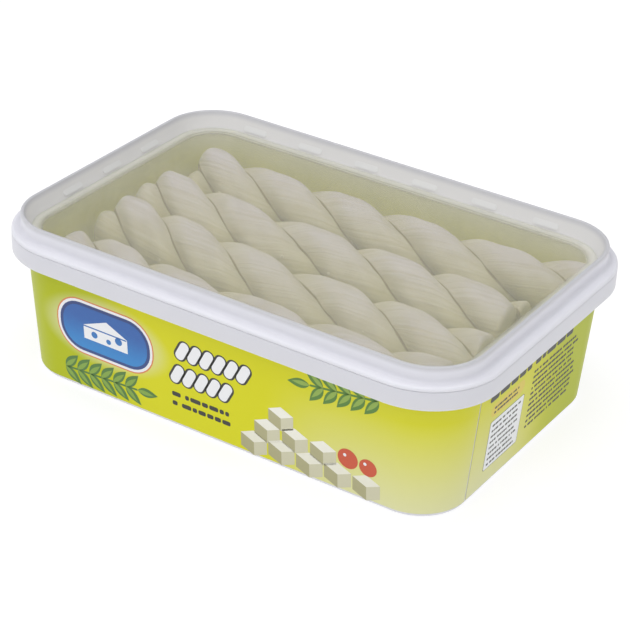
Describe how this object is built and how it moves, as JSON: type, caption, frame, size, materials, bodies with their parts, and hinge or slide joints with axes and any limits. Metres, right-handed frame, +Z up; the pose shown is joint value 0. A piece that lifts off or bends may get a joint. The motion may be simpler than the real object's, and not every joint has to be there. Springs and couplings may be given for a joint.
{
  "type": "tub of twisted string cheese",
  "caption": "Rounded rectangular lidded tub holding thick twisted ropes of string cheese side by side in brine, with a printed wrap label.",
  "frame": {"origin": "middle of the base, on the surface that the tub stands on", "axes": "+X along the tub's length, +Y across it towards the back, +Z up"},
  "size_m": [0.187, 0.1264, 0.0593],
  "materials": {
    "white_polypropylene": "injection-moulded white polypropylene, satin gloss",
    "clear_polypropylene": "natural polypropylene, milky in the thick rim and hazy clear in the thin panel",
    "printed_film": "printed in-mould film, satin",
    "brine": "clear yellowish brine",
    "string_cheese": "moist pulled-curd cheese, creamy white with fine fibres"
  },
  "bodies": {
    "root": {"tub": "white_polypropylene", "lid": "clear_polypropylene", "label": "printed_film", "brine": "brine", "rope_1": "string_cheese", "rope_2": "string_cheese", "rope_3": "string_cheese", "rope_4": "string_cheese"}
  },
  "joints": []
}
